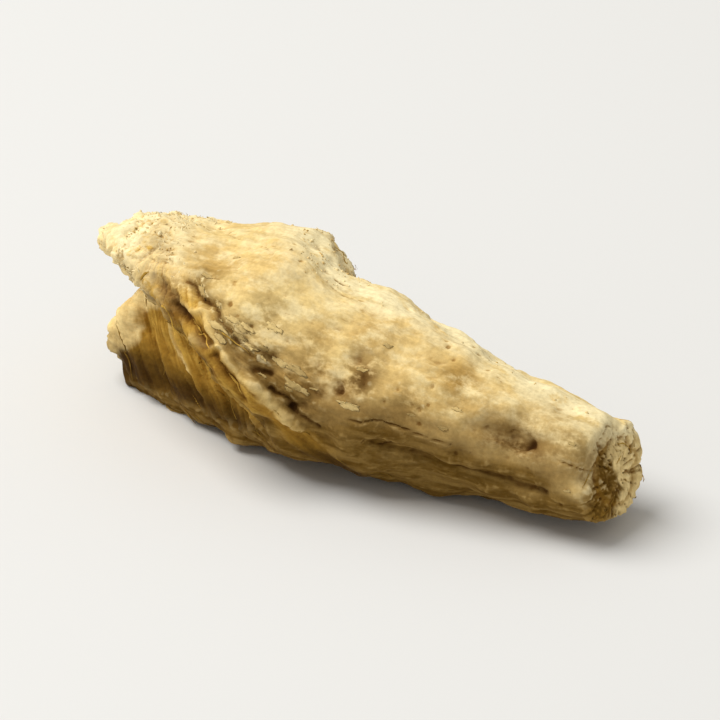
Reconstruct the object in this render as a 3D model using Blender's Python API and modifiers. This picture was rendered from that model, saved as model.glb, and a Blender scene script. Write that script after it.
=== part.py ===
"""A dried, cut piece of gentian root, lying on its side.

The piece is a stout, tapering length of root. Its skin wraps the front, the top and the underside. The back
is split off along the grain, with a shoulder where the split jumps. The thick left end is broken ragged below
a crumbling lip. At the front left the skin is torn off under a crest, down to fibres that fan out. The thin
right end is cut across. It grew as one body, so it is one object.

X runs along the root from the thick end to the thin end, -Y is the front and +Z is up. Blender's lengths are
metres. The sizes below are plain millimetres, and MM turns them to metres where the mesh is made.
"""

import math

import bmesh
import bpy
from mathutils import Vector, noise

MM = 0.001

# Driving sizes: the ends and the foot's depth in millimetres, and how finely the form is drawn
THICK_END = -10.6
THIN_END = 10.5
CUT_VOXEL = 0.16
TRIANGLES_KEPT = 11200
FOOT_DEPTH = 0.30
FOOT_CUTTER = (40.0, 20.0, 6.0)
SHARP_ANGLE = 50.0
SIDES_ROUND = 64
RINGS_ALONG = 90

# The unbroken root's cross-sections from the thick end, in millimetres:
# x, centre y, centre z, half width and half height
STATIONS = (
    (-14.4, -0.6, 2.9, 2.9, 2.4),
    (-11.4, -0.5, 3.05, 3.3, 2.65),
    (-8.4, -0.3, 3.35, 3.6, 3.25),
    (-5.4, -0.2, 3.55, 4.0, 3.5),
    (-3.2, -0.1, 3.65, 4.3, 3.65),
    (-1.2, -0.5, 3.3, 3.6, 3.25),
    (1.1, -0.6, 3.1, 3.15, 3.0),
    (4.1, -0.6, 2.8, 2.7, 2.65),
    (7.6, -0.6, 2.5, 2.2, 2.1),
    (10.6, -0.6, 2.4, 1.85, 1.7),
    (14.6, -0.6, 2.15, 1.7, 1.5),
)

# The torn hollow at the lower front left: its middle in millimetres, the way it faces and its fibres' way
HOLLOW_AT = Vector((-4.1, -2.9, 4.75))
HOLLOW_OUT = Vector((-0.29, -1.0, 0.0)).normalized()
HOLLOW_GRAIN = Vector((6.8, -2.0, -3.5)).normalized()
HOLLOW_UP = HOLLOW_OUT.cross(HOLLOW_GRAIN)

# The crest that bounds the hollow above, as x and height in millimetres. The skin above it is whole.
HOLLOW_CREST = (
    (-12.0, 8.5),
    (-7.6, 6.7),
    (-6.5, 6.15),
    (-5.1, 5.8),
    (-3.95, 4.85),
    (-2.5, 4.1),
    (-0.8, 2.8),
    (3.0, 0.0),
)

# How far the hollow's floor slopes up to its crest, and how far the crest stands above that slope
CREST_SLOPE = 1.73
CREST_EDGE = 0.67

# The torn fibres fan out from this point above the hollow, in millimetres. The steep ones turn towards the
# thin end by this many radians for each millimetre of their length.
FAN_X = -7.5
FAN_Z = 7.6
FAN_BEND = 0.14

# The planes that the root was split, broken and cut along, in millimetres:
# centre, the way out of the root, the first direction in the plane and the half sizes
BACK_SPLIT = ((0.6, 1.05, 3.1), (-0.03, 1.0, 0.10), (1.0, 0.0, 0.0), (17.0, 9.0))
LEFT_BREAK = ((-8.9, -0.6, 3.7), (-1.0, 0.0, 0.0), (0.0, 1.0, 0.0), (9.0, 9.0))
RIGHT_CUT = ((10.4, -0.6, 2.3), (1.0, -0.10, 0.22), (0.0, 1.0, 0.0), (7.0, 7.0))
FRONT_HOLLOW = (HOLLOW_AT, HOLLOW_OUT, HOLLOW_GRAIN, (11.0, 9.0))
CUT_SLAB = 9.0
CUT_GRID = 80

# Heights of the relief, coarse and fine, in millimetres
SKIN_FOLDS = (0.10, 0.06)
SKIN_LUMPS = (0.26, 0.11)
SPLIT_RIBS = (0.24, 0.13)
TORN_FIBRES = (0.22, 0.13)
CRUMBS = 0.22
LIP_CRUMBS = 0.16
HOLLOW_CRUMBS = 0.08

# Pits in the skin, in millimetres: place, half length, half width, depth
PITS = (
    ((1.0, -2.7, 5.3), 0.40, 0.35, 0.28),
    ((0.7, -3.5, 4.5), 0.35, 0.30, 0.25),
    ((7.2, -2.3, 3.8), 0.75, 0.32, 0.45),
    ((6.1, -2.7, 4.0), 0.80, 0.25, 0.20),
    ((-1.0, -3.7, 3.5), 0.50, 0.30, 0.25),
    ((-2.6, -3.6, 4.6), 0.45, 0.32, 0.40),
    ((5.1, 0.4, 5.4), 0.60, 0.40, 0.35),
)

# Ribs and slits of the torn front, in millimetres: points, half width and height, which is negative in a slit
STRANDS = (
    (((-6.5, -2.6, 6.1), (-5.1, -3.2, 5.8), (-3.9, -3.8, 4.8), (-2.5, -4.1, 4.1)), 0.26, 0.20),
    (((-2.5, -4.1, 4.1), (-0.8, -3.9, 2.8)), 0.24, 0.16),
    (((-8.0, -1.4, 6.4), (-8.9, -0.6, 5.0), (-9.6, -0.6, 3.9), (-10.4, -0.6, 2.6)), 0.30, 0.24),
    (((-8.1, -1.0, 3.4), (-7.5, -1.0, 2.5), (-5.8, -1.9, 2.1)), 0.22, 0.16),
    (((-6.5, -2.3, 6.1), (-5.3, -2.7, 6.1), (-4.5, -3.0, 5.8)), 0.22, -0.32),
    (((-7.6, -1.2, 4.4), (-6.1, -1.5, 3.7)), 0.30, -0.40),
    (((-5.6, -1.9, 3.2), (-4.1, -2.4, 2.3), (-3.3, -2.9, 2.0)), 0.26, -0.35),
    (((-3.7, -3.2, 5.4), (-2.9, -3.4, 5.2), (-2.0, -3.6, 5.1)), 0.20, -0.24),
    (((-2.5, -3.2, 3.7), (-1.4, -3.5, 3.4), (-0.5, -3.5, 2.9)), 0.24, -0.28),
    (((2.0, -3.6, 2.6), (5.2, -2.8, 2.2), (8.6, -2.6, 2.1)), 0.30, -0.20),
)


def step(value, low, high):
    """0 below low, 1 above high, and smooth between."""
    t = max(0.0, min(1.0, (value - low) / (high - low)))
    return t * t * (3.0 - 2.0 * t)


def between(values, t):
    """A smooth curve through four values, read a share t of the way from the second to the third."""
    a, b, c, d = values
    return 0.5 * (2 * b + (c - a) * t + (2 * a - 5 * b + 4 * c - d) * t * t + (3 * b - a - 3 * c + d) * t**3)


def station_at(x):
    """Centre and half sizes of the blank at x, all in millimetres."""
    last = len(STATIONS) - 1
    i = max(0, min(last - 1, sum(1 for s in STATIONS if s[0] <= x) - 1))
    share = (x - STATIONS[i][0]) / (STATIONS[i + 1][0] - STATIONS[i][0])
    share = max(0.0, min(1.0, share))
    rows = [STATIONS[max(0, min(last, k))] for k in (i - 1, i, i + 1, i + 2)]
    return [between([row[k] for row in rows], share) for k in range(1, 5)]


def lump(x, angle):
    """How far the unbroken root's skin stands out of its oval at this place, as a factor."""
    spot = Vector((x * 0.17 + 3.0, math.cos(angle) * 0.9 + 0.4, math.sin(angle) * 0.9 + 7.7))
    return 1.0 + 0.13 * noise.fractal(spot, 1.0, 2.0, 2)


def blank_point(x, angle):
    """A point of the unbroken root's skin in metres, at x in millimetres and this angle round the root."""
    centre_y, centre_z, wide, high = station_at(x)
    grow = lump(x, angle)
    y = centre_y + wide * math.cos(angle) * grow
    z = centre_z + high * math.sin(angle) * grow
    return Vector((x, y, z)) * MM


def new_object(name, shape, collection):
    """An object that holds the finished bmesh."""
    bmesh.ops.recalc_face_normals(shape, faces=shape.faces)
    mesh = bpy.data.meshes.new(name)
    shape.to_mesh(mesh)
    shape.free()
    obj = bpy.data.objects.new(name, mesh)
    collection.objects.link(obj)
    return obj


def make_blank(collection):
    """The whole root before it was cut: a cylinder whose rings take the stations' sections."""
    shape = bmesh.new()
    bmesh.ops.create_cone(
        shape, cap_ends=True, cap_tris=False, segments=SIDES_ROUND, radius1=1.0, radius2=1.0, depth=2.0
    )
    lengthwise = [e for e in shape.edges if abs(e.verts[0].co.z - e.verts[1].co.z) > 1.0]
    bmesh.ops.subdivide_edges(shape, edges=lengthwise, cuts=RINGS_ALONG, use_grid_fill=True)
    middle = (STATIONS[0][0] + STATIONS[-1][0]) / 2
    reach = (STATIONS[-1][0] - STATIONS[0][0]) / 2
    for vert in shape.verts:
        angle = math.atan2(vert.co.y, vert.co.x)
        vert.co = blank_point(middle + vert.co.z * reach, angle)
    return new_object("root_piece", shape, collection)


def cut_away(obj, name, plane, relief, collection):
    """Cut everything beyond a rough face off the object.

    The cutter is a grid drawn outwards into a thick slab. relief(u, v) moves its inner face outwards."""
    centre, outward, along, half_sizes = plane
    outward = Vector(outward).normalized()
    along = Vector(along)
    along = (along - outward * along.dot(outward)).normalized()
    across = outward.cross(along)
    if across.z < 0:
        across = -across
    shape = bmesh.new()
    bmesh.ops.create_grid(shape, x_segments=CUT_GRID, y_segments=CUT_GRID, size=1.0)
    for vert in shape.verts:
        u = vert.co.x * half_sizes[0]
        v = vert.co.y * half_sizes[1]
        vert.co = (Vector(centre) + along * u + across * v + outward * relief(u, v)) * MM
    grown = bmesh.ops.extrude_face_region(shape, geom=list(shape.faces))
    for vert in [g for g in grown["geom"] if isinstance(g, bmesh.types.BMVert)]:
        vert.co += outward * CUT_SLAB * MM
    cutter = new_object(name, shape, collection)
    cutter.hide_render = True
    cutter.display_type = "WIRE"
    modifier = obj.modifiers.new(name, "BOOLEAN")
    modifier.operation = "DIFFERENCE"
    modifier.solver = "EXACT"
    modifier.object = cutter


def back_relief(u, v):
    """The split at the back. Its ribs follow the grain along u, and the thick end keeps a wide shoulder."""
    ribs = 0.60 * noise.fractal(Vector((u * 0.09, v * 0.60, 2.0)), 1.0, 2.0, 3)
    ragged = 1.1 * noise.fractal(Vector((u * 0.6, v * 0.6, 5.0)), 0.8, 2.2, 3)
    shoulder = 2.4 * (1.0 - step(u + ragged, -4.2, -2.4))
    return ribs + shoulder - 0.02 * u


def left_relief(u, v):
    """The broken thick end. v is height: the lip at the top reaches out over a notch."""
    crumble = 0.65 * noise.fractal(Vector((u * 0.42, v * 0.42, 9.0)), 1.0, 2.1, 4)
    lip = 2.3 * step(v + 0.25 * u, 0.9, 2.0)
    foot = 1.65 * step(-v, -1.2, 1.7)
    return crumble + lip + foot


def right_relief(u, v):
    """The cut thin end, nearly flat."""
    return 0.26 * noise.fractal(Vector((u * 0.7, v * 0.7, 21.0)), 1.0, 2.0, 3) - 0.05 * (u * u + v * v)


def fan_at(x, z):
    """The turn of the torn fibre that passes x, z round the fan's middle, and how far along it that is."""
    reach = math.hypot(x - FAN_X, FAN_Z - z)
    turn = math.atan2(FAN_Z - z, x - FAN_X)
    return turn + FAN_BEND * reach * step(turn, 0.6, 1.4), reach


def crest_height(x):
    """The height of the hollow's upper edge at x, in millimetres."""
    for (x0, z0), (x1, z1) in zip(HOLLOW_CREST, HOLLOW_CREST[1:]):
        if x <= x1:
            return z0 + (z1 - z0) * (x - x0) / (x1 - x0)
    return HOLLOW_CREST[-1][1]


def hollow_relief(u, v):
    """The torn hollow at the lower front left. Its fibres fan out downwards, and it is open below."""
    spot = HOLLOW_AT + HOLLOW_GRAIN * u + HOLLOW_UP * v
    turn, reach = fan_at(spot.x, spot.z)
    ribs = 0.40 * noise.fractal(Vector((turn * 2.4, reach * 0.10, 31.0)), 1.0, 2.0, 3)
    above = spot.z - crest_height(spot.x)
    ribs += CREST_SLOPE * step(above, -2.6, 0.3) + CREST_EDGE * step(above, -0.3, 0.4)
    scoop = 0.9 * step(-v, -0.2, 1.8) * math.exp(-((u + 3.5) ** 2) / 28.0)
    return ribs - scoop


def bake(obj):
    """Turn the object's modifiers into plain geometry."""
    graph = bpy.context.evaluated_depsgraph_get()
    mesh = bpy.data.meshes.new_from_object(obj.evaluated_get(graph))
    mesh.name = obj.name
    obj.modifiers.clear()
    obj.data = mesh


def skin_share(spot):
    """1 where a point is still the root's skin and 0 where it is broken. spot is in millimetres."""
    centre_y, centre_z, wide, high = station_at(spot.x)
    off_y = (spot.y - centre_y) / wide
    off_z = (spot.z - centre_z) / high
    away = math.hypot(off_y, off_z) / lump(spot.x, math.atan2(off_z, off_y))
    inside = (1.0 - away) * (wide + high) / 2
    past_thick_end = step(spot.x, THICK_END + 0.2, THICK_END + 2.5)
    short_of_thin_end = 1.0 - step(spot.x, THIN_END - 0.8, THIN_END - 0.2)
    return (1.0 - step(inside, 0.12, 0.55)) * past_thick_end * short_of_thin_end


def line_distance(spot, start, end):
    """The distance from a point to the line from start to end."""
    start = Vector(start)
    line = Vector(end) - start
    share = max(0.0, min(1.0, (spot - start).dot(line) / line.length_squared))
    return (spot - start - line * share).length


def fold(spot, offset):
    """Ridges that are 1 on their crests and fall to sharp creases between them."""
    return 1.0 - 2.0 * abs(noise.noise(spot + Vector(offset)))


def relief_at(spot):
    """How far the surface moves out at a point, in millimetres."""
    skin = skin_share(spot)
    turned = noise.noise(spot * 0.35) * 0.5
    grain = Vector((spot.x * 0.16, spot.y * 1.15 + turned, spot.z * 1.15 - turned))
    lumps = noise.fractal(spot * 0.42 + Vector((9.0, 2.0, 6.0)), 1.0, 2.0, 2)
    small = noise.noise(spot * 1.05 + Vector((2.0, 8.0, 1.0)))
    crumbs = noise.fractal(spot * 0.95 + Vector((7.0, 7.0, 2.0)), 0.8, 2.1, 3)
    coarse = fold(grain, (0.0, 11.0, 3.0))
    fine = fold(grain * 2.1, (5.0, 1.0, 8.0))
    on_skin = SKIN_FOLDS[0] * coarse + SKIN_FOLDS[1] * fine + SKIN_LUMPS[0] * lumps + SKIN_LUMPS[1] * small

    broken = SPLIT_RIBS[0] * coarse + SPLIT_RIBS[1] * fine + CRUMBS * crumbs
    broken *= 1.0 - 0.6 * step(spot.x, THIN_END - 1.2, THIN_END - 0.4)

    turn, reach = fan_at(spot.x, spot.z)
    fibre = Vector((turn * 4.4, reach * 0.12, 3.0))
    sunk = (spot - HOLLOW_AT).dot(HOLLOW_OUT)
    in_hollow = step(sunk, -2.0, -1.3) * step(spot.x, -10.6, -9.8) * (1.0 - step(spot.z, 6.3, 6.9))
    torn = TORN_FIBRES[0] * fold(fibre, (4.0, 2.0, 0.0)) + TORN_FIBRES[1] * fold(fibre * 2.3, (1.0, 7.0, 0.0))
    torn += HOLLOW_CRUMBS * crumbs
    broken = in_hollow * torn + (1.0 - in_hollow) * broken

    lip = (1.0 - step(spot.x, -8.9, -5.9)) * step(spot.z, 4.8, 6.0)
    out = skin * on_skin + (1.0 - skin) * broken + LIP_CRUMBS * lip * crumbs
    for place, half_long, half_wide, depth in PITS:
        off = spot - Vector(place)
        reach = (off.x / half_long) ** 2 + (off.y**2 + off.z**2) / half_wide**2
        out -= depth * math.exp(-min(reach, 30.0))
    for points, half_wide, height in STRANDS:
        near = min(line_distance(spot, start, end) for start, end in zip(points, points[1:])) / half_wide
        out += height * math.exp(-min(near * near, 30.0))
    return out


def roughen(obj):
    """Raise folds, fibres and crumbs on the cut root."""
    outward = [Vector(n.vector) for n in obj.data.vertex_normals]
    for vert, normal in zip(obj.data.vertices, outward):
        vert.co += normal * relief_at(vert.co / MM) * MM


def stand_on_foot(obj, collection):
    """Put the object's middle over the origin, and cut a small flat foot at its underside."""
    points = [v.co.copy() for v in obj.data.vertices]
    middle_x = (min(p.x for p in points) + max(p.x for p in points)) / 2
    middle_y = (min(p.y for p in points) + max(p.y for p in points)) / 2
    low = min(p.z for p in points) + FOOT_DEPTH * MM
    for vert in obj.data.vertices:
        vert.co -= Vector((middle_x, middle_y, low))
    shape = bmesh.new()
    bmesh.ops.create_cube(shape, size=1.0)
    long, wide, deep = FOOT_CUTTER
    for vert in shape.verts:
        vert.co = Vector((vert.co.x * long, vert.co.y * wide, (vert.co.z - 0.5) * deep)) * MM
    cutter = new_object("foot_cut", shape, collection)
    cutter.hide_render = True
    cutter.display_type = "WIRE"
    modifier = obj.modifiers.new("foot_cut", "BOOLEAN")
    modifier.operation = "DIFFERENCE"
    modifier.solver = "EXACT"
    modifier.object = cutter


def root_material():
    material = bpy.data.materials.new("dried_root")
    material.use_nodes = True
    shader = material.node_tree.nodes["Principled BSDF"]
    shader.inputs["Base Color"].default_value = (0.56, 0.42, 0.21, 1.0)
    shader.inputs["Roughness"].default_value = 0.85
    shader.inputs["Metallic"].default_value = 0.0
    return material


def main():
    for obj in list(bpy.data.objects):
        bpy.data.objects.remove(obj, do_unlink=True)
    parts = bpy.data.collections.new("gentian_root")
    cutters = bpy.data.collections.new("cutters")
    bpy.context.scene.collection.children.link(parts)
    bpy.context.scene.collection.children.link(cutters)

    root = make_blank(parts)
    cut_away(root, "back_split", BACK_SPLIT, back_relief, cutters)
    cut_away(root, "left_break", LEFT_BREAK, left_relief, cutters)
    cut_away(root, "right_cut", RIGHT_CUT, right_relief, cutters)
    cut_away(root, "front_hollow", FRONT_HOLLOW, hollow_relief, cutters)
    remesh = root.modifiers.new("even_mesh", "REMESH")
    remesh.mode = "VOXEL"
    remesh.voxel_size = CUT_VOXEL * MM
    bake(root)
    roughen(root)
    thin = root.modifiers.new("thin_out", "DECIMATE")
    thin.ratio = TRIANGLES_KEPT / (2.0 * len(root.data.polygons))
    bake(root)
    stand_on_foot(root, cutters)
    root.data.materials.clear()
    root.data.materials.append(root_material())
    root.data.shade_smooth()
    root.data.set_sharp_from_angle(angle=math.radians(SHARP_ANGLE))


main()
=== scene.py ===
"""The finished look of a dried, cut piece of gentian root.

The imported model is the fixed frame: its one node gives the form and the size. This script lays a finer
surface over that form, with wrinkles, torn fibres, crumbs, pits and cracks, adds loose fibres, flakes and
crumbs that cling to it, and sets a plain pale stage. It is laid out as a Blender add-on and is run as a
script.

The piece is small, so the functions work in millimetres, in the frame that its form was drawn in, and a
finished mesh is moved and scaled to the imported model's metres. X runs along the root from the thick end to
the thin end, -Y is the front and +Z is up.
"""

import math

import bmesh
import bpy
import numpy as np
from mathutils import Matrix, Vector, noise


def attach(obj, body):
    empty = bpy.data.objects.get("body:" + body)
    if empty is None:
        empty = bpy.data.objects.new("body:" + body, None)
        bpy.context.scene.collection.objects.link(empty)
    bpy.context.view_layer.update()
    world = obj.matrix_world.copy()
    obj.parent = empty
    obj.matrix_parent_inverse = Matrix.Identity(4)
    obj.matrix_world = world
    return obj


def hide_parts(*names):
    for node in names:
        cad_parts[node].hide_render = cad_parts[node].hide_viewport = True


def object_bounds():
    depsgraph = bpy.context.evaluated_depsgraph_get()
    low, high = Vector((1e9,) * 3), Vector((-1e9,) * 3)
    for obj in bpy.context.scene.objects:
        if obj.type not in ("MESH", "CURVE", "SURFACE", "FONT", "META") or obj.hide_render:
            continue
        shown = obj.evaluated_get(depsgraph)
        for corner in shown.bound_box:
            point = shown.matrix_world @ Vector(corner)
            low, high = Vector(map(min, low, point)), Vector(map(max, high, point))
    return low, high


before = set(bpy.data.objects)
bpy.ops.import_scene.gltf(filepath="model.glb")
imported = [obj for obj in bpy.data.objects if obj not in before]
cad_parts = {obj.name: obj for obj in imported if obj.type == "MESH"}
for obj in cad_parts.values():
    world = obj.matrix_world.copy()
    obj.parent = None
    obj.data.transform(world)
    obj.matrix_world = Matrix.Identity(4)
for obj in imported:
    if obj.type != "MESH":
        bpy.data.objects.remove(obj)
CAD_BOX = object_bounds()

bl_info = {
    "name": "Dried root piece",
    "version": (1, 1, 0),
    "blender": (4, 5, 0),
    "location": "View3D > Sidebar > Root piece",
    "description": "Builds the fine surface of a dried root piece round its packed model, and a plain stage",
    "category": "Object",
}

NODE = "root_piece"
BODY = "root"
MM = 0.001

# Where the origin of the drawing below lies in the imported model
DRAWN_AT = np.array((0.311, 0.373, 0.022))

# The unbroken root's skin as it was drawn: x, centre y, centre z, half width and half height
SKIN_STATIONS = np.array((
    (-14.4, -0.6, 2.9, 2.9, 2.4),
    (-11.4, -0.5, 3.05, 3.3, 2.65),
    (-8.4, -0.3, 3.35, 3.6, 3.25),
    (-5.4, -0.2, 3.55, 4.0, 3.5),
    (-3.2, -0.1, 3.65, 4.3, 3.65),
    (-1.2, -0.5, 3.3, 3.6, 3.25),
    (1.1, -0.6, 3.1, 3.15, 3.0),
    (4.1, -0.6, 2.8, 2.7, 2.65),
    (7.6, -0.6, 2.5, 2.2, 2.1),
    (10.6, -0.6, 2.4, 1.85, 1.7),
    (14.6, -0.6, 2.15, 1.7, 1.5),
))
THICK_END = -10.6
THIN_END = 10.5

# The drawn skin's lumps: their noise's waves along and round the root, where it starts, and their height
LUMP_WAVES = (0.17, 0.9, 0.9)
LUMPS_FROM = (3.0, 0.4, 7.7)
LUMP_HEIGHT = 0.13

# The surface is still skin down to the first of these depths below the drawn skin, and broken from the second
SKIN_DEPTHS = (0.25, 0.75)

# The torn front: its middle, the way it faces, and its upper edge as x and height
TORN_AT = np.array((-4.1, -2.9, 4.75))
TORN_OUT = np.array((-0.2785, -0.9604, 0.0))
CREST_X = (-12.0, -7.6, -6.7, -5.5, -4.8, -4.4, -3.9, -3.3, -2.2, -1.6, -0.8, 3.0)
CREST_Z = (8.5, 6.7, 6.3, 6.2, 6.1, 6.0, 5.3, 4.9, 4.2, 3.5, 2.7, 0.0)

# The torn fibres fan out from this point, and the steep ones turn towards the thin end by this many radians
# in a millimetre
FAN_X = -7.5
FAN_Z = 7.6
FAN_BEND = 0.14

# Pits in the skin: place, half length, half width, depth
PITS = (
    ((1.4, -3.1, 5.0), 0.22, 0.34, 0.13),
    ((0.7, -3.5, 4.5), 0.30, 0.20, 0.14),
    ((-0.2, -3.7, 4.3), 0.22, 0.16, 0.12),
    ((7.8, -2.4, 3.5), 0.55, 0.22, 0.20),
    ((6.8, -2.5, 3.7), 0.70, 0.18, 0.12),
    ((-1.0, -3.7, 3.5), 0.36, 0.16, 0.10),
    ((-2.6, -3.6, 4.6), 0.30, 0.18, 0.12),
    ((5.1, 0.4, 5.4), 0.30, 0.20, 0.12),
    ((-6.4, -3.2, 5.4), 0.45, 0.35, 0.08),
    ((-4.2, -4.3, 4.4), 0.55, 0.40, 0.05),
)

# A pit's dark smudge covers this many times its area
SMUDGE_SPREAD = 3.4

# Ribs and slits of the torn front: half width, height, which is negative in a slit, and the line's points
STRANDS = (
    (0.15, 0.15, (
        (-6.7, -3.0, 6.0), (-5.5, -3.4, 6.0), (-4.8, -3.6, 6.1), (-4.3, -4.0, 5.7), (-3.9, -4.3, 5.2),
    )),
    (0.16, 0.13, (
        (-3.9, -4.3, 5.2), (-2.7, -4.6, 4.5), (-2.2, -4.6, 4.2), (-1.6, -4.2, 3.5), (-0.8, -3.8, 2.7),
    )),
    (0.12, 0.10, ((-5.1, -4.0, 5.3), (-4.6, -4.2, 5.2), (-4.2, -4.3, 5.2))),
    (0.13, 0.14, ((-7.9, -1.2, 4.4), (-7.6, -1.2, 3.4), (-7.2, -1.3, 2.7), (-6.4, -1.9, 2.4))),
    (0.10, -0.13, (
        (-6.2, -2.6, 6.5), (-5.4, -3.0, 6.4), (-4.5, -3.5, 6.2), (-3.8, -3.9, 5.9), (-3.3, -4.1, 5.5),
    )),
    (0.25, -0.34, (
        (-7.1, -2.7, 6.1), (-6.2, -3.1, 5.8), (-5.3, -3.8, 5.7), (-4.9, -4.0, 5.6), (-4.4, -4.2, 5.2),
    )),
    (0.14, -0.22, ((-4.0, -4.5, 4.9), (-3.5, -4.6, 4.6), (-3.0, -4.6, 4.3), (-2.7, -4.7, 3.8))),
    (0.10, -0.12, ((-3.8, -3.8, 6.0), (-3.2, -4.1, 5.6), (-2.6, -4.1, 5.2))),
    (0.13, -0.11, ((-3.1, -3.9, 5.7), (-2.4, -3.9, 5.3), (-1.8, -3.7, 5.0))),
    (0.20, -0.15, ((-2.5, -4.2, 4.8), (-2.0, -3.9, 4.6))),
    (0.12, -0.14, ((-1.8, -4.2, 4.1), (-1.3, -3.9, 3.8), (-0.8, -3.8, 3.2), (-0.1, -3.7, 2.9))),
    (0.12, -0.08, ((2.0, -3.6, 2.6), (5.2, -2.8, 2.2), (8.6, -2.6, 2.1))),
)

# A slit of this depth gets the full painted shade inside
DARK_SLIT = 0.34

# The right-hand edge of the pale rim down the left of the torn front, as height and x
LEFT_RIM_Z = (0.5, 1.5, 2.2, 3.2, 5.5, 6.5)
LEFT_RIM_X = (-10.4, -10.1, -9.6, -9.2, -7.9, -7.5)

# How much of a step out of the surface a drawn line's distance leaves out
OUTWARD_LEFT_OUT = 0.85

# The upper edge along which the skin is whitest, from dust and painted highlight
DUST_AND_HIGHLIGHT_EDGE = (
    (-3.4, 1.2, 7.4), (-2.4, 0.9, 6.9), (-1.3, 0.2, 6.6), (0.0, -0.1, 6.5), (1.4, 0.0, 6.3), (2.5, 0.5, 5.8),
    (4.0, 0.4, 5.5), (5.3, 0.2, 5.1), (6.6, -0.3, 5.0), (8.1, -0.4, 4.7), (9.6, -0.5, 4.4),
)
DUST_AND_HIGHLIGHT_HALF_WIDE = 1.1

# The front edge along which the skin turns down, darkened there with painted shade
SHADED_FRONT_EDGE = (
    (-2.8, -4.4, 4.7), (-0.2, -3.7, 4.1), (1.9, -3.5, 4.2), (3.8, -3.1, 4.2), (5.8, -2.7, 4.1),
    (7.7, -2.4, 3.8), (9.9, -2.2, 3.4),
)
SHADED_FRONT_HALF_WIDE = 0.9

# Where the split back meets the skin at the shoulder, frayed and pale: place, radius and strength
PALE_SHOULDER = (
    ((-3.2, 1.6, 7.2), 0.8, 0.8),
    ((-2.6, 2.3, 6.5), 0.9, 1.0),
    ((-2.2, 1.8, 6.5), 0.7, 1.0),
    ((-1.2, 0.8, 6.5), 0.7, 0.9),
    ((-2.2, 0.0, 7.1), 0.9, 0.7),
)

# Ochre stains on the pale skin: place, radius and strength
OCHRE_STAINS = (
    ((-0.6, -2.5, 5.9), 0.8, 0.5),
    ((1.0, -2.0, 6.2), 1.0, 0.6),
    ((4.7, -1.9, 5.3), 0.8, 1.0),
    ((-5.6, -2.2, 6.7), 0.9, 0.6),
    ((8.4, -1.6, 4.2), 0.6, 0.6),
    ((-2.4, 1.8, 6.6), 0.9, 0.6),
    ((-6.0, -1.4, 7.0), 0.9, 0.35),
)

# Greyish, bare patches where the dust is worn off the skin: place, radius and strength
WORN_PATCHES = (
    ((-0.6, -3.6, 4.8), 0.9, 0.9),
    ((1.2, -3.2, 5.0), 0.8, 1.0),
    ((-2.5, -3.8, 4.9), 1.0, 1.1),
    ((-3.4, -3.9, 5.7), 0.7, 1.2),
    ((7.2, -2.5, 3.7), 0.9, 1.0),
    ((3.2, -3.3, 4.1), 0.7, 1.0),
    ((-2.7, -3.0, 6.3), 0.9, 0.6),
    ((-0.9, -2.9, 5.6), 0.6, 0.5),
    ((-5.2, -2.4, 6.8), 0.5, 0.4),
    ((9.5, -2.1, 3.9), 0.9, 0.6),
)

# The cut end's middle, and its ring of darker tissue as shares of the way out to the skin
END_MIDDLE = (-0.6, 2.4)
END_HALF_WIDE = 1.85
END_RING = 0.66
END_RING_HALF_WIDE = 0.07

# The heights between which the surface goes from lower to upper; colours darken towards the lower one as
# painted shade
LOW_TO_HIGH = (1.0, 5.8)

# Crests and hollows are marked against the surface smoothed this many times, up to this height
RELIEF_MARKS = {"fine_relief": (5, 0.035), "broad_relief": (60, 0.14)}

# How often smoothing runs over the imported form's facets, the skin's edge, the rim along it and the lower side
FACET_SMOOTHING = 4
SKIN_SMOOTHING = 3
RIM_SMOOTHING = 16
UNDER_SMOOTHING = 140

# The loose scraps' sizes. Two numbers are the least and the most, a single lift is the most, and a crumb's
# radius grows from its least
CRUMB_RADIUS = 0.022
CRUMB_GROWTH = 0.055
LUMP_RADII = (0.09, 0.16)
TUFT_LENGTHS = (0.12, 0.34)
TUFT_RADII = (0.028, 0.06)
TUFT_LIFTS = (0.01, 0.10)
FLAKE_HALF_LENGTHS = (0.12, 0.40)
FLAKE_WIDTH_SHARES = (0.25, 0.5)
FLAKE_THICK = 0.014
FLAKE_LIFTS = (0.0, 0.05)
FIBRE_LENGTHS = (0.5, 2.2)
FIBRE_RADII = (0.03, 0.09)
FIBRE_LIFT = 0.18
SPLINTER_LENGTHS = (0.4, 1.6)
SPLINTER_RADII = (0.022, 0.055)
SPLINTER_LIFT = 0.15

# The least and the most of a tuft's way along X, Y and Z
TUFT_WAYS = ((-1.0, -0.6, -0.2), (0.2, 0.6, 0.9))

# Flakes left of this x and in front of this y lie along the torn fibres, and the others along the root
FAN_FLAKE_X = -0.5
FAN_FLAKE_Y = -1.5

# A loose scrap's least height above the floor
SCRAP_GAP = 0.01

# Rings along a loose fibre and along a short stub
FIBRE_RINGS = 10
STUB_RINGS = 5

# Seeds of the dice for crumbs, flakes and fibres
CRUMB_SEED = 11
FLAKE_SEED = 23
FIBRE_SEED = 37

# Waves of the colours' noise in a metre along X, Y and Z
CLOUDS = (260.0, 420.0, 420.0)
MOTTLE = (1000.0, 1500.0, 1500.0)
STREAKS = (320.0, 3200.0, 3200.0)
SPECKS = (6500.0, 6500.0, 6500.0)
HAIRS = (900.0, 9000.0, 9000.0)
CELLS = (9000.0, 9000.0, 9000.0)
SCRAP_MOTTLE = (2600.0, 4200.0, 4200.0)

# Waves of the torn fibres' noise in a radian of the fan's turn and in a millimetre of its reach and depth
BANDS = (7.0, 0.22, 0.25)
THREADS = (26.0, 0.6, 0.3)
FLECKS = (17.0, 1.3, 0.6)

# What painted shade, and the dark smudges round the pits, multiply a colour by, from the thinnest to the
# darkest
FRONT_EDGE_SHADE = (0.55, 0.45, 0.30)
CREASE_SHADE = (0.50, 0.36, 0.19)
SHADE_AND_SMUDGE = (0.26, 0.165, 0.07)

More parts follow.
